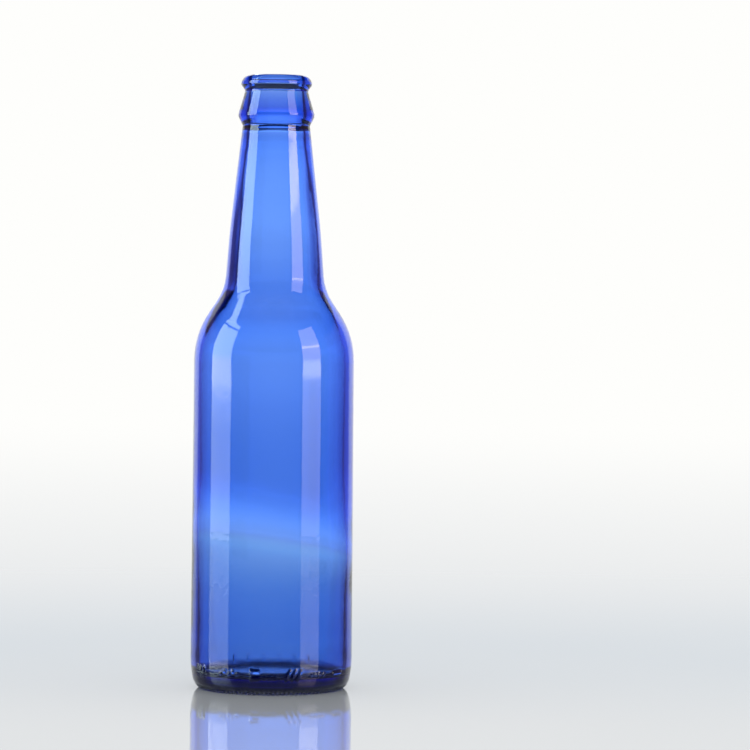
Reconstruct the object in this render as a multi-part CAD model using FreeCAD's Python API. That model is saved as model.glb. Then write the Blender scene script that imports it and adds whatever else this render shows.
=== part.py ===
"""Long-neck beer bottle of pressed-and-blown glass, empty and without its crown cap.

Millimetres. The bottle stands on z = 0 with its axis on Z, and the origin is at
the middle of its foot. It is one solid of revolution: one outline runs out along
the underside, up the outside, over the lip, down the bore and the inside, and
ends on the axis.
"""
import FreeCAD, Part
import math
import os

# Driving dimensions. A corner is (radius, height) before it is rounded, and the
# ROUND beside it is the radius of the curve that rounds it.

HEIGHT = 228.9                  # foot to sealing face
BODY_R = 29.85                  # outside of the straight body
HEEL_R = 30.2                   # the body is a little wider at the heel

# foot and underside
RING_INNER_R = 25.5             # flat bearing ring that the bottle stands on
RING_OUTER_R = 26.7
RING_STEP = (23.3, 1.25)        # where the ring's inner curve meets the dome
RING_STEP_MID = (24.55, 0.30)
PUSH_UP = 3.4                   # height of the domed underside at the axis
HEEL_LOW_MID = (28.45, 1.6)     # the heel is a tight curve and then a long one
HEEL_LOW = (29.35, 3.5)
HEEL_MID = (30.05, 8.3)
HEEL_TOP_Z = 13.0

# shoulder and neck
SHOULDER_LOW_Z = 132.2          # corner between body and shoulder cone
SHOULDER_LOW_ROUND = 32.0
SHOULDER_HIGH = (18.67, 149.0)  # corner between shoulder cone and neck
SHOULDER_HIGH_ROUND = 20.0
NECK_MID = (17.00, 170.9)       # the neck cone steepens slightly here
NECK_MID_ROUND = 400.0
NECK_TOP = (12.56, 210.2)       # under the bead
NECK_TOP_ROUND = 1.0

# crown finish: bead, waist and lip of a standard 26 mm crown mouth
BEAD = (14.40, 213.9)
BEAD_ROUND = 2.75
WAIST = (11.70, 223.2)
WAIST_ROUND = 1.55
LIP_R = 13.22
LIP_LOW_Z = 225.4
LIP_LOW_ROUND = 0.75
LIP_TOP_ROUND = 3.2
MOUTH_ROUND = 1.1
BORE_R = 9.5                    # throat of the mouth
THROAT_Z = 220.0                # a height within the straight throat

# wall thickness down the bottle
BORE_END_Z = 209.0              # the straight throat opens into the neck here
BORE_END_ROUND = 6.0
NECK_TOP_R = 10.3               # inside of the neck below the bore
NECK_TOP_Z = 205.0
NECK_TOP_INNER_ROUND = 20.0
NECK_MID_WALL = 2.35
SHOULDER_WALL = 2.6
SHOULDER_DROP = 0.8             # the inside corners sit this much below the outside ones
BODY_TOP_WALL = 2.6
BODY_TOP_Z = 117.0
THICK_WALL = 3.2                # a settle wave leaves thick glass above mid-body
THICK_Z = 76.0
THIN_WALL = 1.95                # and thin glass just below it
THIN_Z = 53.0
HEEL_WALL = 3.1
HEEL_WALL_Z = 25.0
WAVE_ROUND = 60.0
BASE_GLASS = 3.4                # glass between the dome and the inside floor
FLOOR_Z = 5.6                   # inside floor, if it ran out flat to the wall
FLOOR_ROUND = 3.0               # curve between wall and floor
FLOOR_FLAT = (22.0, 5.9)        # the floor starts to rise here


# ---- an outline of straight runs with rounded corners ----

def point(r, z):
    """A point of the outline, at radius r and height z."""
    return FreeCAD.Vector(r, 0, z)


def line(start, end):
    """Straight edge between two (r, z) points."""
    return Part.LineSegment(point(*start), point(*end)).toShape()


def arc(start, middle, end):
    """Arc through three (r, z) points."""
    return Part.Arc(point(*start), point(*middle), point(*end)).toShape()


def dome(top_z, edge):
    """Arc from the axis at top_z out to the (r, z) edge, centred on the axis."""
    r, z = edge
    drop = top_z - z
    radius = (r * r + drop * drop) / (2 * drop)
    half_angle = math.asin(r / radius) / 2
    middle = (radius * math.sin(half_angle), top_z - radius * (1 - math.cos(half_angle)))
    return arc((0, top_z), middle, edge)


def corner_arc(before, corner, after, radius):
    """The arc that rounds a corner, and its two tangent points."""
    back = (before - corner).normalize()
    ahead = (after - corner).normalize()
    half_angle = back.getAngle(ahead) / 2
    reach = radius / math.tan(half_angle)
    start = corner + back * reach
    end = corner + ahead * reach
    bisector = (back + ahead).normalize()
    middle = corner + bisector * (radius / math.sin(half_angle) - radius)
    return start, Part.Arc(start, middle, end).toShape(), end


def rounded_run(first, corners, last):
    """Edges from first to last past the corners, each given as (r, z, radius)."""
    points = [point(*first)] + [point(r, z) for r, z, _ in corners] + [point(*last)]
    edges = []
    here = points[0]
    for i, (_, _, radius) in enumerate(corners, start=1):
        start, rounding, end = corner_arc(points[i - 1], points[i], points[i + 1], radius)
        edges.append(Part.LineSegment(here, start).toShape())
        edges.append(rounding)
        here = end
    edges.append(Part.LineSegment(here, points[-1]).toShape())
    return edges


# ---- the stretches of the outline, in order ----

def underside():
    """Domed push-up from the axis, the ring's inner curve, and the flat bearing ring."""
    return [
        dome(PUSH_UP, RING_STEP),
        arc(RING_STEP, RING_STEP_MID, (RING_INNER_R, 0)),
        line((RING_INNER_R, 0), (RING_OUTER_R, 0)),
    ]


def heel():
    return [
        arc((RING_OUTER_R, 0), HEEL_LOW_MID, HEEL_LOW),
        arc(HEEL_LOW, HEEL_MID, (HEEL_R, HEEL_TOP_Z)),
    ]


def outside():
    """Body, shoulder, neck, bead, waist and lip, over the sealing face into the bore."""
    corners = [
        (BODY_R, SHOULDER_LOW_Z, SHOULDER_LOW_ROUND),
        (*SHOULDER_HIGH, SHOULDER_HIGH_ROUND),
        (*NECK_MID, NECK_MID_ROUND),
        (*NECK_TOP, NECK_TOP_ROUND),
        (*BEAD, BEAD_ROUND),
        (*WAIST, WAIST_ROUND),
        (LIP_R, LIP_LOW_Z, LIP_LOW_ROUND),
        (LIP_R, HEIGHT, LIP_TOP_ROUND),
        (BORE_R, HEIGHT, MOUTH_ROUND),
    ]
    return rounded_run((HEEL_R, HEEL_TOP_Z), corners, (BORE_R, THROAT_Z))


def inside():
    """Bore, neck, shoulder, settle wave and heel, down to the inside floor."""
    body_corner_z = SHOULDER_LOW_Z - SHOULDER_DROP
    neck_corner_z = SHOULDER_HIGH[1] - SHOULDER_DROP
    corners = [
        (BORE_R, BORE_END_Z, BORE_END_ROUND),
        (NECK_TOP_R, NECK_TOP_Z, NECK_TOP_INNER_ROUND),
        (NECK_MID[0] - NECK_MID_WALL, NECK_MID[1], NECK_MID_ROUND),
        (SHOULDER_HIGH[0] - SHOULDER_WALL, neck_corner_z, SHOULDER_HIGH_ROUND),
        (BODY_R - SHOULDER_WALL, body_corner_z, SHOULDER_LOW_ROUND),
        (BODY_R - BODY_TOP_WALL, BODY_TOP_Z, WAVE_ROUND),
        (BODY_R - THICK_WALL, THICK_Z, WAVE_ROUND),
        (BODY_R - THIN_WALL, THIN_Z, WAVE_ROUND),
        (HEEL_R - HEEL_WALL, HEEL_WALL_Z, WAVE_ROUND),
        (HEEL_R - HEEL_WALL, FLOOR_Z, FLOOR_ROUND),
    ]
    return rounded_run((BORE_R, THROAT_Z), corners, FLOOR_FLAT)


def floor():
    """Inside floor, rising to a low dome at the axis."""
    return dome(PUSH_UP + BASE_GLASS, FLOOR_FLAT)


# ---- solids ----

def turned(edges):
    """Solid made by turning a closed outline once about the axis."""
    section = Part.Face(Part.Wire(edges))
    return section.revolve(point(0, 0), point(0, 1), 360)


def bottle():
    axis_edge = line((0, PUSH_UP + BASE_GLASS), (0, PUSH_UP))
    return turned(underside() + heel() + outside() + inside() + [floor(), axis_edge])


def brimful_space():
    """The hollow up to the sealing face, which shows what the bottle holds."""
    top_edges = [
        line((0, PUSH_UP + BASE_GLASS), (0, HEIGHT)),
        line((0, HEIGHT), (BORE_R, HEIGHT)),
        line((BORE_R, HEIGHT), (BORE_R, THROAT_Z)),
    ]
    return turned(top_edges + inside() + [floor()])


os.makedirs("parts", exist_ok=True)
glass = bottle()
glass.exportStep("parts/bottle.step")
print("valid", glass.isValid(), glass.optimalBoundingBox(True))
print("glass cm3", round(glass.Volume / 1000, 1))
print("brimful cm3", round(brimful_space().Volume / 1000, 1))
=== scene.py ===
"""An empty long-neck beer bottle of blue glass, standing on a glossy pale table in a studio.

The glass is one closed mesh: the outside, the inside and the underside, with the
wall between them as thick as the blown glass is at each height. Lengths are in
millimetres until a point is written to a mesh, which is in metres. An angle round the
bottle is 0 at the front, which faces -Y, and positive to the right of it.
"""
import math

import bpy
from mathutils import Matrix, Vector


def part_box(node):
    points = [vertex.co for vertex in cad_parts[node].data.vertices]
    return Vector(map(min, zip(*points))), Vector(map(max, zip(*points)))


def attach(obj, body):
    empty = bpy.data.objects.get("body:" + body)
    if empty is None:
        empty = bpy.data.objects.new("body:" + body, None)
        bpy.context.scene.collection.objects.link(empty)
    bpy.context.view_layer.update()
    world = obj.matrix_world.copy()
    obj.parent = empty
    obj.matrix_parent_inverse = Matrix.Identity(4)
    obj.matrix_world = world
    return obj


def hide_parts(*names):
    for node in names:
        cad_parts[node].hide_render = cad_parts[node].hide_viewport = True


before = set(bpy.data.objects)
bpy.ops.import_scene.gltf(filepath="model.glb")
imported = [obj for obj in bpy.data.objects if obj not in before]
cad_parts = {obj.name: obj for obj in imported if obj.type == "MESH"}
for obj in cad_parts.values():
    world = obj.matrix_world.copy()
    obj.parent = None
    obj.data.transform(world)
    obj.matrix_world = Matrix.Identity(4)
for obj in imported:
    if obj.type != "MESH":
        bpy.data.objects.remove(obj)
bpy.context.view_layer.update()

MM = 0.001

# ---- sizes of the glass; a point of its outline is (radius, height) ----

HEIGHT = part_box("bottle")[1].z / MM
BODY_R = 29.85
HEEL_R = 30.2                   # the body is a little wider at the heel

# foot and underside
RING_INNER_R = 25.5             # the ring that the bottle stands on
RING_OUTER_R = 26.7
RING_STEP = (23.3, 1.25)        # where the ring's inner curve meets the dome
RING_STEP_MID = (24.55, 0.30)
PUSH_UP = 3.4                   # height of the domed underside at the axis
FOOT_TOP_Z = 3.0                # the foot's knurled curve ends here
HEEL_LOW_MID = (28.45, 1.6)     # the heel is a tight curve and then a long one
HEEL_LOW = (29.35, 3.5)
HEEL_MID = (30.05, 8.3)
HEEL_TOP_Z = 13.0

# inside floor
FLOOR_TOP_Z = 6.8               # height of the floor at the axis
FLOOR_EDGE = (22.0, 5.9)        # the floor starts to rise here
FLOOR_Z = 5.6                   # and it would meet the wall at this height
FLOOR_ROUND = 3.0               # but for the curve between them
HEEL_WALL = 3.1
INNER_HEEL_Z = 17.0             # above this the wall is as thick as WALL says

NECK_TOP = (12.56, 210.2)       # under the bead
# Corners above the heel, as (radius, height, radius of the curve that rounds them).
OUTSIDE_CORNERS = [
    (BODY_R, 132.2, 32.0),      # body into shoulder
    (18.67, 149.0, 20.0),       # shoulder into neck
    (17.00, 170.9, 400.0),      # the neck's slight swell
    (*NECK_TOP, 1.0),
    (14.40, 213.9, 2.75),       # bead
    (11.70, 223.2, 1.55),       # waist
    (13.22, 225.4, 0.75),       # under the lip
    (13.22, HEIGHT, 3.2),       # lip
]
MOUTH_R = 9.4
MOUTH_ROUND = 1.1

# Bore of the mouth and the flare below it, as (height, radius).
BORE = [
    (200.0, 11.0), (202.0, 10.7), (205.0, 10.35), (207.2, 10.34), (208.55, 10.19),
    (209.25, 9.85), (210.35, 9.57), (211.75, 9.97), (214.2, 10.0), (216.5, 10.0),
    (219.5, 9.8), (223.0, 9.65), (227.0, 9.5),
]
BORE_TOP_GAP = 1.6              # between the mouth's rounding and the bore's first ring
NECK_START_Z = 200.0            # the bore ends here, and the wall below follows WALL

# Wall thickness, as (height, thickness). The step between 74 and 50 mm is the settle
# wave, which the first blow leaves in the glass.
WALL = [
    (15, 3.05), (22, 3.22), (28, 2.95), (34, 2.92), (40, 2.48), (45, 2.22), (50, 1.98),
    (54, 1.98), (58, 2.06), (62, 2.31), (66, 2.70), (70, 3.04), (74, 3.14), (78, 3.14),
    (83, 3.10), (89, 3.04), (96, 2.93), (104, 2.78), (112, 2.66), (120, 2.57),
    (128, 2.66), (134, 3.02), (140, 3.32), (146, 3.08), (152, 2.74), (160, 2.50),
    (170, 2.34), (183, 2.42), (195, 2.53), (205, 2.86),
]
# The glass is even over short lengths, so the thickness is averaged over these steps,
# given as (step, weight).
EVENED = [(-5.0, 1), (-2.5, 2), (0.0, 3), (2.5, 2), (5.0, 1)]
EVENED_WEIGHT = sum(weight for _, weight in EVENED)

WAVE_TILT = 0.15                # the settle wave slopes by this much across the bottle
WAVE_START = (36.0, 50.0)       # the slope comes in between these heights
WAVE_END = (76.0, 100.0)        # and goes out between these

# The wall's thickness wanders a little round the bottle, by these shares of itself: in
# halves of a turn, and in thirds that twist with height.
WANDER_HALVES = 0.012
WANDER_HALVES_START = 0.6       # radians
WANDER_THIRDS = 0.008
WANDER_TWIST = 31.0             # millimetres of height for each radian of twist
WANDER_END_Z = 185.0            # the wandering dies out between here and the bore

# Thicker patches, where the glass ran down the mould, as (angle, half angle, thickness,
# (start, full, fade, end) heights): the lower neck's left front, its right, and the
# body's right.
PATCHES = [
    (-66.0, 16.0, 0.35, (130.0, 144.0, 172.0, 196.0)),
    (64.0, 14.0, 0.2, (138.0, 156.0, 184.0, 198.0)),
    (90.0, 42.0, 0.4, (66.0, 84.0, 128.0, 146.0)),
]

# The foot is knurled: small rounded lands that stand on the table.
KNURLS = 100
KNURL_DEPTH = 0.9
KNURL_FULLNESS = 0.7            # under 1, the grooves are pinched and the lands are full
KNURL_START = (24.6, 25.9)      # radii that the grooves deepen between
KNURL_END = (27.6, 29.0)        # and run out between

# The mould's two halves leave a faint ridge on opposite sides.
SEAM_ANGLE = math.radians(-38.6)
SEAM_HEIGHT = 0.035
SEAM_WIDTH = 0.3
SEAM_START = (5.0, 9.0)         # heights that the ridge rises between
SEAM_END = (222.0, 224.0)       # and dies out between

# Raised marks on the heel, the bars and dots of a plain mould code, as (angle round the
# heel in degrees, height, tilt in degrees, half length). A dot has no length.
MARK_Z = 7.6
MARKS = (
    [(-64 + 4.2 * k, MARK_Z, 0, 1.8) for k in range(3)]
    + [(-38 + 3.4 * k, MARK_Z + 1.0 * (k % 2), 0, 0.0) for k in range(5)]
    + [(-14, MARK_Z, 0, 1.8), (-10.5, MARK_Z + 1.3, 90, 0.8), (-10.5, MARK_Z - 1.3, 90, 0.8)]
    + [(-5 + 3.6 * k, MARK_Z - 1.0, 0, 0.0) for k in range(3)]
    + [(12 + 4.0 * k, MARK_Z, 24, 1.7) for k in range(3)]
    + [(30 + 3.4 * k, MARK_Z, 0, 0.0) for k in range(4)]
    + [(52 + 4.4 * k, MARK_Z, 90, 1.2) for k in range(2)]
    + [(150 + 12 * k, MARK_Z, 0, 1.3) for k in range(6)]
)
MARK_TOP = 0.25                 # half width of a mark's flat top
MARK_EDGE = 0.45                # width of the slope beside it
MARK_RAISE = 0.6
MARK_REACH = 3.0                # a mark is nowhere further than this from its middle
MARK_BAND = (FOOT_TOP_Z, 12.0)  # heights that the marks lie between

# ---- rings and steps of the mesh ----

TURN_STEPS = 400
CURVE_STEP = 2.6                # along the outside's curves
FLOOR_STEP = 1.3                # along the curve between wall and floor
STRAIGHT_SHARE = 2.4            # a straight's steps are this many times as long as a curve's
FINEST_TURN = math.radians(9)
FEWEST_STEPS = 3
BORE_STEP = 1.3
NARROW_STEP = 0.45              # in the stretch of the bore that narrows and widens
NARROW_Z = (206.0, 214.0)
NECK_STEP = 3.6
BODY_STEP = 2.5                 # in the inside below BODY_STEP_Z
BODY_STEP_Z = 160.0
DOME_STEPS, RING_CURVE_STEPS, MOUTH_STEPS, FLOOR_DOME_STEPS = 8, 5, 5, 7
HEEL_LOW_STEPS, HEEL_STEPS = 8, 18
ON_AXIS = 1e-6                  # a ring this small is one point


# ---- curves ----


def smooth_between(table, x):
    """Smooth value at x from a table of (x, value), flat past its ends."""
    if x <= table[0][0]:
        return table[0][1]
    if x >= table[-1][0]:
        return table[-1][1]
    i = next(k for k in range(len(table) - 1) if x <= table[k + 1][0])
    (x0, y0), (x1, y1) = table[i], table[i + 1]

    def slope(k):
        if k in (0, len(table) - 1):
            return 0.0
        return (table[k + 1][1] - table[k - 1][1]) / (table[k + 1][0] - table[k - 1][0])

    t = (x - x0) / (x1 - x0)
    width = x1 - x0
    a = 2 * t ** 3 - 3 * t ** 2 + 1
    b = t ** 3 - 2 * t ** 2 + t
    c = 3 * t ** 2 - 2 * t ** 3
    d = t ** 3 - t ** 2
    return a * y0 + b * width * slope(i) + c * y1 + d * width * slope(i + 1)


def smoothstep(low, high, x):
    t = min(max((x - low) / (high - low), 0.0), 1.0)
    return t * t * (3 - 2 * t)


def straight(start, end, step):
    """Points from start towards end, without end, about a step apart."""
    count = max(1, math.ceil((end - start).length / step))
    return [start.lerp(end, i / count) for i in range(count)]


def rounded_run(first, corners, last, step):
    """Points along a run past the corners (r, z, radius), each rounded by its radius."""
    points = [Vector(first)] + [Vector(c[:2]) for c in corners] + [Vector(last)]
    run = []
    here = points[0]
    for i, (_, _, radius) in enumerate(corners, start=1):
        back = (points[i - 1] - points[i]).normalized()
        ahead = (points[i + 1] - points[i]).normalized()
        half = back.angle(ahead) / 2
        reach = radius / math.tan(half)
        start = points[i] + back * reach
        centre = points[i] + (back + ahead).normalized() * radius / math.sin(half)
        turn = math.pi - 2 * half
        run += straight(here, start, STRAIGHT_SHARE * step)
        count = max(FEWEST_STEPS, math.ceil(turn / FINEST_TURN), math.ceil(turn * radius / step))
        side = 1 if back.cross(ahead) > 0 else -1
        spoke = start - centre
        for k in range(count):
            angle = -side * turn * k / count
            run.append(centre + Matrix.Rotation(angle, 2) @ spoke)
        here = points[i] + ahead * reach
    return run + straight(here, points[-1], STRAIGHT_SHARE * step) + [points[-1]]


def arc_points(start, middle, end, count):
    """Points of the arc through three (r, z) points, both ends included."""
    a, b, c = Vector(start), Vector(middle), Vector(end)
    u, v = b - a, c - a
    d = 2 * u.cross(v)
    centre = a + Vector((
        (v.y * u.length_squared - u.y * v.length_squared) / d,
        (u.x * v.length_squared - v.x * u.length_squared) / d,
    ))
    spoke_a, spoke_c = a - centre, c - centre
    turn = math.atan2(spoke_a.cross(spoke_c), spoke_a.dot(spoke_c))
    return [centre + Matrix.Rotation(turn * k / count, 2) @ spoke_a for k in range(count + 1)]


def dome_points(top_z, edge, count):
    """Points from the axis out to the edge along a dome centred on the axis."""
    r, z = edge
    drop = top_z - z
    radius = (r * r + drop * drop) / (2 * drop)
    return [
        Vector((r * k / count, top_z - radius + math.sqrt(radius ** 2 - (r * k / count) ** 2)))
        for k in range(count + 1)
    ]


def heights_down(top, bottom, step_at):
    """Heights from top down to just above bottom, each step_at(height) below the last."""
    z = top
    while z > bottom:
        yield z
        z -= step_at(z)


# ---- relief and thickness of the glass ----


def mark_height(angle, z):
    """How far a raised mark stands out at this angle and height on the heel."""
    best = 0.0
    for degrees, middle_z, tilt, half_length in MARKS:
        off = (angle - math.radians(degrees) + math.pi) % (2 * math.pi) - math.pi
        across = off * HEEL_R
        up = z - middle_z
        if abs(across) > MARK_REACH or abs(up) > MARK_REACH:
            continue
        lean = math.radians(tilt)
        along = up * math.cos(lean) + across * math.sin(lean)
        aside = across * math.cos(lean) - up * math.sin(lean)
        beyond = max(abs(along) - half_length, 0.0)
        distance = math.hypot(aside, beyond)
        best = max(best, 1 - smoothstep(MARK_TOP, MARK_EDGE + MARK_TOP, distance))
    return best * MARK_RAISE


def seam_height(angle, r):
    """How far the mould's seam stands out at this angle."""
    off = (angle - SEAM_ANGLE + math.pi / 2) % math.pi - math.pi / 2
    return SEAM_HEIGHT * math.exp(-(off * r / SEAM_WIDTH) ** 2)


def wall_at(angle, z):
    """Thickness of the glass, with the settle wave leaning to one side."""
    share = smoothstep(*WAVE_START, z) * (1 - smoothstep(*WAVE_END, z))
    across = BODY_R * math.sin(angle)
    leaning = z + WAVE_TILT * across * share
    wander = (WANDER_HALVES * math.sin(2 * angle + WANDER_HALVES_START)
              + WANDER_THIRDS * math.sin(3 * angle + z / WANDER_TWIST))
    uneven = 1 + wander * (1 - smoothstep(WANDER_END_Z, NECK_START_Z, z))
    patch = 0.0
    for middle, half_angle, thickness, (start, full, fade, end) in PATCHES:
        off = (math.degrees(angle) - middle + 180) % 360 - 180
        held = smoothstep(start, full, z) * (1 - smoothstep(fade, end, z))
        patch += thickness * math.exp(-(off / half_angle) ** 2) * held
    evened = sum(smooth_between(WALL, leaning + step) * weight for step, weight in EVENED)
    return evened / EVENED_WEIGHT * uneven + patch


# ---- rings of the glass; each is a function of the angle that gives (radius, height) ----


def plain_ring(point):
    return lambda angle: (point.x, point.y)


def foot_ring(point):
    """A ring of the knurled foot."""
    share = smoothstep(*KNURL_START, point.x) * (1 - smoothstep(*KNURL_END, point.x))

    def ring(angle):
        land = 0.5 + 0.5 * math.cos(KNURLS * angle)
        return point.x, point.y + KNURL_DEPTH * share * (1 - land ** KNURL_FULLNESS)
    return ring


def outside_ring(point):
    """A ring of the outside, with the mould's seams and the heel's marks."""
    def ring(angle):
        seam = seam_height(angle, point.x) * smoothstep(*SEAM_START, point.y)
        r = point.x + seam * (1 - smoothstep(*SEAM_END, point.y))
        if MARK_BAND[0] < point.y < MARK_BAND[1]:
            r += mark_height(angle, point.y)
        return r, point.y
    return ring


def wall_ring(z, outer_r):
    """A ring of the inside, a wall's thickness in from the outside."""
    return lambda angle: (outer_r - wall_at(angle, z), z)


def outside_outline():
    """Points from the bearing ring up the heel, the body and the neck to the lip."""
    tight = arc_points((RING_OUTER_R, 0.0), HEEL_LOW_MID, HEEL_LOW, HEEL_LOW_STEPS)
    long = arc_points(HEEL_LOW, HEEL_MID, (HEEL_R, HEEL_TOP_Z), HEEL_STEPS)
    upper = rounded_run((HEEL_R, HEEL_TOP_Z), OUTSIDE_CORNERS,
                        (MOUTH_R + MOUTH_ROUND, HEIGHT), CURVE_STEP)
    return [Vector((RING_OUTER_R, 0.0)), *tight[1:], *long[1:-1], *upper]


def rings_of_glass():
    """Rings from the underside's middle, over the lip, to the inside floor's middle."""
    rings = [plain_ring(point) for point in dome_points(PUSH_UP, RING_STEP, DOME_STEPS)]
    ring_curve = arc_points(RING_STEP, RING_STEP_MID, (RING_INNER_R, 0.0), RING_CURVE_STEPS)
    rings += [foot_ring(point) for point in ring_curve[1:]]
    rings.append(foot_ring(Vector(((RING_INNER_R + RING_OUTER_R) / 2, 0.0))))
    outline = outside_outline()
    rings += [foot_ring(p) if p.y < FOOT_TOP_Z else outside_ring(p) for p in outline]

    inset = MOUTH_ROUND * (1 - math.sqrt(0.5))
    mouth = arc_points((MOUTH_R + MOUTH_ROUND, HEIGHT), (MOUTH_R + inset, HEIGHT - inset),
                       (MOUTH_R, HEIGHT - MOUTH_ROUND), MOUTH_STEPS)
    rings += [plain_ring(point) for point in mouth[1:]]

    def bore_step(z):
        return NARROW_STEP if NARROW_Z[0] < z < NARROW_Z[1] else BORE_STEP

    for z in heights_down(HEIGHT - MOUTH_ROUND - BORE_TOP_GAP, NECK_START_Z, bore_step):
        rings.append(plain_ring(Vector((smooth_between(BORE, z), z))))

    body = sorted((p.y, p.x) for p in outline if p.y < NECK_TOP[1])

    def outer_radius(z):
        i = next(k for k in range(1, len(body)) if body[k][0] >= z)
        (z0, r0), (z1, r1) = body[i - 1], body[i]
        return r0 + (r1 - r0) * (z - z0) / (z1 - z0)

    def inner_step(z):
        return BODY_STEP if z < BODY_STEP_Z else NECK_STEP

    for z in heights_down(NECK_START_Z, INNER_HEEL_Z, inner_step):
        rings.append(wall_ring(z, outer_radius(z)))
    heel_r = outer_radius(INNER_HEEL_Z) - smooth_between(WALL, INNER_HEEL_Z)
    inner_heel = rounded_run((heel_r, INNER_HEEL_Z),
                             [(HEEL_R - HEEL_WALL, FLOOR_Z, FLOOR_ROUND)], FLOOR_EDGE, FLOOR_STEP)
    rings += [plain_ring(point) for point in inner_heel[:-1]]
    floor = dome_points(FLOOR_TOP_Z, FLOOR_EDGE, FLOOR_DOME_STEPS)
    return rings + [plain_ring(point) for point in reversed(floor)]


def glass_mesh():
    """The rings joined into one closed mesh."""
    rings = rings_of_glass()
    vertices = []
    starts = []
    for ring in rings:
        starts.append(len(vertices))
        r, z = ring(0.0)
        if r < ON_AXIS:
            vertices.append((0, 0, z * MM))
            continue
        for k in range(TURN_STEPS):
            angle = 2 * math.pi * k / TURN_STEPS
            r, z = ring(angle)
            vertices.append((r * math.sin(angle) * MM, -r * math.cos(angle) * MM, z * MM))
    starts.append(len(vertices))
    faces = []
    for i in range(len(rings) - 1):
        a, b, after = starts[i:i + 3]
        for k in range(TURN_STEPS):
            n = (k + 1) % TURN_STEPS
            if b - a == 1:
                faces.append((a, b + n, b + k))
            elif after - b == 1:
                faces.append((a + k, a + n, b))
            else:
                faces.append((a + k, a + n, b + n, b + k))
    mesh = bpy.data.meshes.new("bottle_glass")
    mesh.from_pydata(vertices, [], faces)
    mesh.validate()
    mesh.shade_smooth()
    return mesh


def new_object(name, mesh):
    thing = bpy.data.objects.new(name, mesh)
    bpy.context.scene.collection.objects.link(thing)
    return thing


# ---- colours and nodes ----


def linear(code):
    """Linear colour from an sRGB hex value."""
    parts = [int(code[i:i + 2], 16) / 255 for i in (1, 3, 5)]
    return tuple(c / 12.92 if c <= 0.04045 else ((c + 0.055) / 1.055) ** 2.4 for c in parts)


def add(tree, kind, settings=None, values=None, links=None, stops=()):
    """Adds a node with its settings, its sockets' values and the links into them.

    stops are a colour ramp's, as (position, linear colour).
    """
    node = tree.nodes.new(kind)
    for name, value in (settings or {}).items():
        setattr(node, name, value)
    for name, value in (values or {}).items():
        node.inputs[name].default_value = value
    for name, source in (links or {}).items():
        tree.links.new(source, node.inputs[name])
    if stops:
        elements = node.color_ramp.elements
        while len(elements) < len(stops):
            elements.new(0.5)
        for element, (position, colour) in zip(elements, stops):
            element.position = position
            element.color = (*colour, 1)
    return node


def new_material(name):
    material = bpy.data.materials.new(name)
    material.use_nodes = True
    material.node_tree.nodes.clear()
    return material, material.node_tree


# ---- glass ----

GLASS_IOR = 1.52
ABSORPTION_PER_METRE = 430.0    # of the colour that the glass takes up most
KEPT = (0.0, 0.405, 0.925, 1.0)     # share of each colour that it lets be
PEEL_SIZE, PEEL_DEPTH = 7.0, 0.03   # orange peel of fire-polished glass
GRAIN_SIZE, GRAIN_SHARE = 1.3, 0.06
STIPPLE_SIZE, STIPPLE_DEPTH = 1.6, 0.5      # dots of the mould's base plate
STIPPLE_ROUGHNESS = 0.3
FLOOR_ROUGHNESS = 0.2
SCUFF_ROUGHNESS = 0.05
PAINTED_FOOT_SHADE_GREY = 0.15                # painted shade: share of light that the foot's greyed edge lets through


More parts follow.
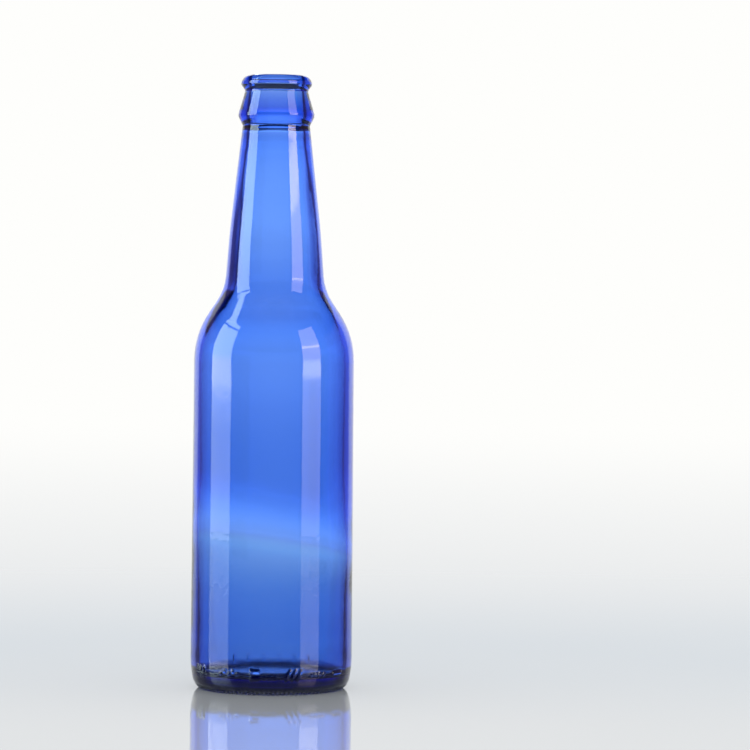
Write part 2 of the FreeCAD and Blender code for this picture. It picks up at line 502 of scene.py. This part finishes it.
def moulded_cobalt_glass():
    """Soda-lime container glass, tinted with cobalt and blown in a mould.

    The tint is in the depth of the wall, so thick glass is navy and thin glass is sky
    blue. The surface is fire-polished, with a slight orange peel that ripples
    reflections, and a few dull scuffs. The underside is stippled by the mould's base
    plate, and the foot's edge is darkened by painted shade, a grey in its colour, so
    the foot is dark and lets no clear picture through.
    """
    material, tree = new_material("moulded_cobalt_glass")
    place = add(tree, "ShaderNodeTexCoord").outputs["Object"]
    peel = add(tree, "ShaderNodeTexNoise", {"noise_dimensions": "3D"},
               {"Scale": 1 / (PEEL_SIZE * MM), "Detail": 2.0, "Roughness": 0.45},
               {"Vector": place})
    grain = add(tree, "ShaderNodeTexNoise", {"noise_dimensions": "3D"},
                {"Scale": 1 / (GRAIN_SIZE * MM), "Detail": 2.0, "Roughness": 0.5},
                {"Vector": place})
    height = add(tree, "ShaderNodeMath", {"operation": "MULTIPLY_ADD"}, {1: GRAIN_SHARE},
                 {0: grain.outputs["Fac"], 2: peel.outputs["Fac"]})
    bump = add(tree, "ShaderNodeBump", None, {"Strength": 1.0, "Distance": PEEL_DEPTH * MM},
               {"Height": height.outputs[0]})

    up = add(tree, "ShaderNodeSeparateXYZ", None, None, {"Vector": place}).outputs["Z"]
    flat = add(tree, "ShaderNodeVectorMath", {"operation": "MULTIPLY"}, {1: (1, 1, 0)}, {0: place})
    radius = add(tree, "ShaderNodeVectorMath", {"operation": "LENGTH"}, None,
                 {0: flat.outputs[0]}).outputs["Value"]
    # Each goes from its first value to its second between two heights or two radii.
    share = {}
    for name, source, start, end, first, second in (
        ("underside_low", up, 4.0, 4.6, 1.0, 0.0),
        ("underside_within", radius, 26.4, 27.4, 1.0, 0.0),
        ("floor_low", up, 8.4, 9.4, FLOOR_ROUGHNESS, 0.0),
        ("floor_within", radius, 26.8, 27.1, 1.0, 0.0),
        ("edge_low", up, 4.4, 5.6, 1.0, 0.0),
        ("edge_beyond", radius, 26.6, 27.6, 0.0, 1.0),
    ):
        share[name] = add(tree, "ShaderNodeMapRange", None,
                          {"From Min": start * MM, "From Max": end * MM,
                           "To Min": first, "To Max": second},
                          {"Value": source}).outputs["Result"]
    under = add(tree, "ShaderNodeMath", {"operation": "MULTIPLY"}, None,
                {0: share["underside_low"], 1: share["underside_within"]})
    # painted shade: the foot's outer edge, low down, is greyed so that it lets less light through
    painted_foot_shade = add(tree, "ShaderNodeMath", {"operation": "MULTIPLY"}, None,
               {0: share["edge_low"], 1: share["edge_beyond"]})

    stipple = add(tree, "ShaderNodeTexVoronoi", None, {"Scale": 1 / (STIPPLE_SIZE * MM)},
                  {"Vector": place})
    dotted = add(tree, "ShaderNodeBump", None, {"Distance": STIPPLE_DEPTH * MM},
                 {"Height": stipple.outputs["Distance"], "Normal": bump.outputs["Normal"],
                  "Strength": under.outputs[0]})
    scuff = add(tree, "ShaderNodeMapRange", {"interpolation_type": "SMOOTHSTEP"},
                {"From Min": 0.60, "From Max": 0.78, "To Min": 0.0, "To Max": SCUFF_ROUGHNESS},
                {"Value": grain.outputs["Fac"]})
    inside = add(tree, "ShaderNodeMath", {"operation": "MULTIPLY_ADD"}, None,
                 {0: share["floor_low"], 1: share["floor_within"], 2: scuff.outputs["Result"]})
    rough = add(tree, "ShaderNodeMath", {"operation": "MULTIPLY_ADD"}, {1: STIPPLE_ROUGHNESS},
                {0: under.outputs[0], 2: inside.outputs[0]})
    clear = add(tree, "ShaderNodeMix", {"data_type": "RGBA"},
                {6: (1, 1, 1, 1), 7: (PAINTED_FOOT_SHADE_GREY, PAINTED_FOOT_SHADE_GREY, PAINTED_FOOT_SHADE_GREY, 1)}, {0: painted_foot_shade.outputs[0]})
    glass = add(tree, "ShaderNodeBsdfPrincipled", None,
                {"IOR": GLASS_IOR, "Transmission Weight": 1.0},
                {"Base Color": clear.outputs[2], "Normal": dotted.outputs["Normal"],
                 "Roughness": rough.outputs[0]})
    tint = add(tree, "ShaderNodeVolumeAbsorption", None,
               {"Color": KEPT, "Density": ABSORPTION_PER_METRE})
    add(tree, "ShaderNodeOutputMaterial", None, None,
        {"Surface": glass.outputs["BSDF"], "Volume": tint.outputs["Volume"]})
    return material


# ---- studio ----

# Lengths here are in metres. Colours of light are (red, green, blue), where 1 is white.
# An elevation is in degrees above the table, and a bearing in degrees from +Y, which is
# straight behind the bottle.

TABLE_COLOUR = "#c4c9ce"
TABLE_R, TABLE_STEPS = 9.0, 96
TABLE_SWEEP = 0.15              # the table starts to sweep up at this distance
TABLE_REACH = 2.6               # and has swept up to white at this one
MIRROR_SHEET_Z = -0.00002
BACKDROP_COLOUR = "#fefefc"

# The backdrop through the glass, as (elevation, colour).
SEEN_THROUGH = [
    (0.0, (1.03, 1.07, 1.15)), (2.0, (1.20, 1.26, 1.32)), (7.0, (1.28, 1.32, 1.38)),
    (9.0, (1.40, 1.42, 1.48)), (13.5, (1.40, 1.42, 1.48)), (16.5, (0.05, 0.05, 0.07)),
]
# The table through the glass, as (distance from the object's axis, colour). It is dark under the
# object and dim close beside it: a painted shadow of the object.
TABLE_THROUGH_WITH_PAINTED_SHADOW = [
    (0.0, (0.01, 0.01, 0.02)), (0.026, (0.01, 0.01, 0.02)), (0.034, (0.10, 0.11, 0.17)),
    (0.06, (0.55, 0.58, 0.66)), (0.105, (0.62, 0.66, 0.71)), (0.19, (0.69, 0.74, 0.76)),
    (0.28, (0.72, 0.80, 0.83)), (0.38, (0.76, 0.84, 0.87)), (0.50, (0.79, 0.90, 0.93)),
    (0.63, (0.86, 1.00, 0.98)), (0.80, (0.92, 1.02, 0.98)), (1.0, (0.95, 1.01, 0.98)),
    (1.4, (0.94, 0.94, 0.98)), (2.0, (0.96, 0.97, 1.06)), (2.6, (1.0, 1.03, 1.12)),
]
# How much of either is left through the glass, as (bearing, share): it falls off softly.
THROUGH_SIDES = [
    (12, (1.0, 1.0, 1.0)), (24, (0.88, 0.82, 0.92)), (33, (0.70, 0.60, 0.80)),
    (40, (0.52, 0.42, 0.66)), (47, (0.08, 0.07, 0.15)), (60, (0.08, 0.07, 0.15)),
    (66, (1.0, 1.0, 1.0)),
]
# What gloss shows of the backdrop, with the grey strip of the studio that the table
# mirrors, as (elevation, colour).
MIRRORED = [
    (0.0, "#fefefc"), (4.7, "#fefefe"), (5.6, "#eaf0f6"), (6.1, "#eaf0f6"),
    (7.0, "#ffffff"), (22.0, "#ffffff"), (27.0, "#202226"),
]
# How much of it gloss shows, as (bearing, share): the dark studio starts at an upright edge.
MIRRORED_SIDES = [
    (39.5, (1.0, 1.0, 1.0)), (43.5, (0.26, 0.20, 0.34)), (90, (0.24, 0.19, 0.30)),
    (98, (0.02, 0.02, 0.02)),
]
# Gloss on what faces up shows the studio's dim ceiling, as (elevation, strength).
CEILING = [(0.0, 0.0), (36.0, 0.0), (66.0, 0.25), (90.0, 0.25)]

# Strength of each softbox up its height, as (height, colour). The left one's dark bar is
# a bar of its frame.
SOFTBOX_DISTANCE = 0.9
LEFT_LEVELS = [
    (0.0, (2.8, 3.3, 3.6)), (0.065, (2.5, 3.0, 3.3)), (0.085, (3.3, 3.9, 4.2)),
    (0.095, (6.0, 6.5, 6.8)), (0.14, (6.0, 6.5, 6.8)), (0.22, (4.5, 5.8, 6.3)),
    (0.726, (4.5, 5.8, 6.3)), (0.733, (0.2, 0.2, 0.3)), (0.779, (0.2, 0.2, 0.3)),
    (0.786, (4.5, 5.8, 6.3)),
]
RIGHT_LEVELS = [
    (0.0, (1.9, 1.8, 1.9)), (0.05, (2.4, 2.3, 2.4)), (0.095, (2.7, 2.6, 2.8)),
    (0.11, (6.8, 6.6, 6.8)), (0.13, (6.8, 6.6, 6.8)), (0.20, (3.9, 3.3, 3.7)),
    (0.37, (4.4, 3.4, 4.0)), (0.385, (9.0, 7.4, 8.4)), (0.415, (9.0, 7.4, 8.4)),
    (0.435, (4.4, 3.6, 4.2)), (0.50, (3.3, 2.7, 3.1)),
]
STRONGEST = 9.0                 # strength that the softboxes' ramps are scaled to
SOFTBOX_THROUGH = 0.38333       # and their strength through the glass
SOFTBOX_STEPS = 24
SHOULDER_Z = 0.15               # a softbox's top edge is seen from this height
TOP_FALL = 2.5                  # how steeply the edge falls from its first end to its last
CARD_COLOUR = (0.7, 0.42, 0.85)
CARD_DISTANCE, CARD_BOTTOM = 0.0515, 0.232

LENS = 169.3                    # millimetres
CLIP_NEAR, CLIP_FAR = 0.05, 60
CAMERA_DISTANCE = 1.32
CAMERA_HEIGHT = 0.150
CAMERA_YAW = -1.642             # degrees
CAMERA_PITCH = 1.41
CAMERA_ROLL = 0.60


def sides_of(tree, way):
    """Shares left at the bearing of the direction way: in gloss, and through the glass."""
    flat = add(tree, "ShaderNodeVectorMath", {"operation": "MULTIPLY"}, {1: (1, 1, 0)}, {0: way})
    unit = add(tree, "ShaderNodeVectorMath", {"operation": "NORMALIZE"}, None,
               {0: flat.outputs[0]})
    ahead = add(tree, "ShaderNodeSeparateXYZ", None, None, {"Vector": unit.outputs[0]})
    turn = add(tree, "ShaderNodeMath", {"operation": "ARCCOSINE"}, None, {0: ahead.outputs["Y"]})
    share = add(tree, "ShaderNodeMath", {"operation": "DIVIDE"}, {1: math.pi},
                {0: turn.outputs[0]})
    return [
        add(tree, "ShaderNodeValToRGB", links={"Fac": share.outputs[0]},
            stops=[(bearing / 180, rgb) for bearing, rgb in table]).outputs["Color"]
        for table in (MIRRORED_SIDES, THROUGH_SIDES)
    ]


def scaled(levels):
    """Levels as a ramp can hold them, none above 1, and the strength that restores them."""
    brightest = max(max(rgb) for _, rgb in levels)
    return [(at, tuple(c / brightest for c in rgb)) for at, rgb in levels], brightest


def by_ray(tree, glossy, through, sides, brightest):
    """White to the camera, glossy to gloss, and through, less at its sides, to the glass."""
    lit = add(tree, "ShaderNodeVectorMath", {"operation": "MULTIPLY"}, None,
              {0: through, 1: sides})
    strong = add(tree, "ShaderNodeVectorMath", {"operation": "SCALE"}, {"Scale": brightest},
                 {0: lit.outputs[0]})
    path = add(tree, "ShaderNodeLightPath")
    plain = add(tree, "ShaderNodeMix", {"data_type": "VECTOR"}, {4: linear(BACKDROP_COLOUR)},
                {0: path.outputs["Is Glossy Ray"], 5: glossy})
    seen = add(tree, "ShaderNodeMix", {"data_type": "VECTOR"}, None,
               {0: path.outputs["Is Transmission Ray"], 4: plain.outputs[1],
                5: strong.outputs[0]})
    return seen.outputs[1]


def studio_world():
    """White backdrop behind the object, and a dark studio round it that edges the glass."""
    world = bpy.data.worlds.new("studio")
    bpy.context.scene.world = world
    world.use_nodes = True
    tree = world.node_tree
    tree.nodes.clear()
    way = add(tree, "ShaderNodeTexCoord").outputs["Generated"]
    mirrored_sides, through_sides = sides_of(tree, way)
    tall = add(tree, "ShaderNodeSeparateXYZ", None, None, {"Vector": way})
    rise = add(tree, "ShaderNodeMath", {"operation": "ARCSINE"}, None, {0: tall.outputs["Z"]})
    share = add(tree, "ShaderNodeMath", {"operation": "DIVIDE"}, {1: math.pi / 2},
                {0: rise.outputs[0]})
    levels, brightest = scaled(SEEN_THROUGH)
    mirrored, ceiling, tiers = [
        add(tree, "ShaderNodeValToRGB", links={"Fac": share.outputs[0]},
            stops=[(elevation / 90, rgb) for elevation, rgb in table]).outputs["Color"]
        for table in (
            [(elevation, linear(code)) for elevation, code in MIRRORED],
            [(elevation, (strength,) * 3) for elevation, strength in CEILING],
            levels,
        )
    ]
    behind = add(tree, "ShaderNodeVectorMath", {"operation": "MULTIPLY"}, None,
                 {0: mirrored, 1: mirrored_sides})
    glossy = add(tree, "ShaderNodeVectorMath", {"operation": "ADD"}, None,
                 {0: behind.outputs[0], 1: ceiling})
    seen = by_ray(tree, glossy.outputs[0], tiers, through_sides, brightest)
    light = add(tree, "ShaderNodeBackground", None, {"Strength": 1.0}, {"Color": seen})
    add(tree, "ShaderNodeOutputWorld", None, None, {"Surface": light.outputs["Background"]})


def polished_acrylic():
    """Pale grey acrylic sheet, polished, that sweeps up to white far from the object.

    It gives a soft upside-down picture of the foot. The glass shows it by how bright it
    is at each distance from the object, with a painted shadow: dark under the object
    and dim close beside it.
    """
    material, tree = new_material("polished_acrylic")
    place = add(tree, "ShaderNodeTexCoord").outputs["Object"]
    away = add(tree, "ShaderNodeVectorMath", {"operation": "LENGTH"}, None,
               {0: place}).outputs["Value"]
    sweep = add(tree, "ShaderNodeMapRange", {"interpolation_type": "SMOOTHSTEP"},
                {"From Min": TABLE_SWEEP, "From Max": TABLE_REACH}, {"Value": away})
    cloud = add(tree, "ShaderNodeTexNoise", None, {"Scale": 9.0, "Detail": 3.0}, {"Vector": place})
    gloss = add(tree, "ShaderNodeMapRange", None, {"To Min": 0.03, "To Max": 0.07},
                {"Value": cloud.outputs["Fac"]})
    acrylic = add(tree, "ShaderNodeBsdfPrincipled", None,
                  {"Base Color": (*linear(TABLE_COLOUR), 1), "IOR": 1.49},
                  {"Roughness": gloss.outputs["Result"]})

    mirrored_sides, through_sides = sides_of(tree, place)
    glossy = add(tree, "ShaderNodeVectorMath", {"operation": "MULTIPLY"},
                 {0: linear(MIRRORED[0][1])}, {1: mirrored_sides})
    # the square root spreads out the levels near the object
    far = add(tree, "ShaderNodeMath", {"operation": "DIVIDE"}, {1: TABLE_REACH}, {0: away})
    root = add(tree, "ShaderNodeMath", {"operation": "SQRT"}, None, {0: far.outputs[0]})
    # painted shadow: through the glass the table is dark under the object and dim beside it
    levels, brightest = scaled(TABLE_THROUGH_WITH_PAINTED_SHADOW)
    tiers = add(tree, "ShaderNodeValToRGB", links={"Fac": root.outputs[0]},
                stops=[(math.sqrt(distance / TABLE_REACH), rgb) for distance, rgb in levels])
    shown = by_ray(tree, glossy.outputs[0], tiers.outputs["Color"], through_sides, brightest)
    white = add(tree, "ShaderNodeEmission", None, None, {"Color": shown})

    path = add(tree, "ShaderNodeLightPath")
    share = add(tree, "ShaderNodeMath", {"operation": "MAXIMUM"}, None,
                {0: sweep.outputs["Result"], 1: path.outputs["Is Transmission Ray"]})
    mixed = add(tree, "ShaderNodeMixShader", None, None,
                {0: share.outputs[0], 1: acrylic.outputs["BSDF"], 2: white.outputs["Emission"]})
    add(tree, "ShaderNodeOutputMaterial", None, None, {"Surface": mixed.outputs["Shader"]})
    return material


def woven_nylon_diffuser(name, levels):
    """White woven nylon, lit unevenly from behind, which puts a streak of light on glass.

    levels are (height, colour), from the table up.
    """
    material, tree = new_material(name)
    place = add(tree, "ShaderNodeTexCoord").outputs["Object"]
    up = add(tree, "ShaderNodeSeparateXYZ", None, None, {"Vector": place})
    shade = add(tree, "ShaderNodeValToRGB", links={"Fac": up.outputs["Z"]},
                stops=[(z, tuple(s / STRONGEST for s in rgb)) for z, rgb in levels])
    path = add(tree, "ShaderNodeLightPath")
    strength = add(tree, "ShaderNodeMix", {"data_type": "FLOAT"},
                   {2: STRONGEST, 3: SOFTBOX_THROUGH}, {0: path.outputs["Is Transmission Ray"]})
    glow = add(tree, "ShaderNodeEmission", None, None,
               {"Color": shade.outputs["Color"], "Strength": strength.outputs[0]})
    add(tree, "ShaderNodeOutputMaterial", None, None, {"Surface": glow.outputs["Emission"]})
    return material


def table_top(name, height, material):
    """A round table far larger than the view."""
    turns = [2 * math.pi * k / TABLE_STEPS for k in range(TABLE_STEPS)]
    rim = [(TABLE_R * math.cos(turn), TABLE_R * math.sin(turn), height) for turn in turns]
    mesh = bpy.data.meshes.new(name)
    mesh.from_pydata(rim, [], [tuple(range(TABLE_STEPS))])
    mesh.materials.append(material)
    table = new_object(name, mesh)
    return table


def softbox(name, angles, distance, bottom, tops, material, lit):
    """A curved diffuser that stands round the object between two angles.

    tops are the elevations that its top edge reaches at either end, seen from the
    object's shoulder. It lights only the objects in the collection lit.
    """
    first, last = angles
    vertices = []
    for k in range(SOFTBOX_STEPS + 1):
        angle = math.radians(first + (last - first) * k / SOFTBOX_STEPS)
        x, y = distance * math.sin(angle), -distance * math.cos(angle)
        share = (1 - k / SOFTBOX_STEPS) ** TOP_FALL
        elevation = math.radians(tops[1] + (tops[0] - tops[1]) * share)
        vertices += [(x, y, bottom), (x, y, SHOULDER_Z + distance * math.tan(elevation))]
    faces = [(2 * k, 2 * k + 2, 2 * k + 3, 2 * k + 1) for k in range(SOFTBOX_STEPS)]
    mesh = bpy.data.meshes.new(name)
    mesh.from_pydata(vertices, [], faces)
    mesh.materials.append(material)
    box = new_object(name, mesh)
    box.visible_camera = False
    box.visible_diffuse = False
    box.visible_shadow = False
    box.light_linking.receiver_collection = lit
    return box


def camera():
    """Long lens at about eye level with the shoulder, a little off square to the bottle."""
    data = bpy.data.cameras.new("camera")
    data.lens = LENS
    data.clip_start, data.clip_end = CLIP_NEAR, CLIP_FAR
    eye = bpy.data.objects.new("camera", data)
    bpy.context.scene.collection.objects.link(eye)
    eye.location = (0.0, -CAMERA_DISTANCE, CAMERA_HEIGHT)
    turn = Matrix.Rotation(math.radians(CAMERA_YAW), 4, "Z")
    tip = Matrix.Rotation(math.radians(90 - CAMERA_PITCH), 4, "X")
    roll = Matrix.Rotation(math.radians(CAMERA_ROLL), 4, "Z")
    eye.rotation_mode = "QUATERNION"
    eye.rotation_quaternion = (turn @ tip @ roll).to_quaternion()
    bpy.context.scene.camera = eye


# ---- the bottle in its studio ----

bottle = new_object("bottle_glass", glass_mesh())
bottle.data.materials.append(moulded_cobalt_glass())
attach(bottle, "root")
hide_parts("bottle")

studio_world()
# The table itself doesn't mirror the softboxes, so it stays plain. The glass mirrors a
# second sheet just under it that does, so that the softboxes' streaks run on to the foot.
acrylic = polished_acrylic()
table = table_top("table", 0.0, acrylic)
table.visible_glossy = False
mirror_sheet = table_top("table_in_the_glass", MIRROR_SHEET_Z, acrylic)
mirror_sheet.visible_camera = False
mirror_sheet.visible_diffuse = False
mirror_sheet.visible_transmission = False
mirror_sheet.visible_shadow = False
lit_by_softboxes = bpy.data.collections.new("lit_by_softboxes")
lit_by_softboxes.objects.link(bottle)
lit_by_softboxes.objects.link(mirror_sheet)
for side, angles, tops, levels in (
    ("left", (-99, -63), (69, 38.5), LEFT_LEVELS),
    ("right", (41, 70), (38.5, 38.5), RIGHT_LEVELS),
):
    softbox("softbox_" + side, angles, SOFTBOX_DISTANCE, 0.0, tops,
            woven_nylon_diffuser("woven_nylon_diffuser_" + side, levels), lit_by_softboxes)
# a small dim card over the mouth, which only the lip and the bead mirror
card = softbox("lip_card", (-57, 34), CARD_DISTANCE, CARD_BOTTOM, (74, 74),
               woven_nylon_diffuser("woven_nylon_card", [(0.0, CARD_COLOUR), (1.0, CARD_COLOUR)]),
               lit_by_softboxes)
card.visible_transmission = False
camera()

scene = bpy.context.scene
scene.view_settings.view_transform = "Standard"
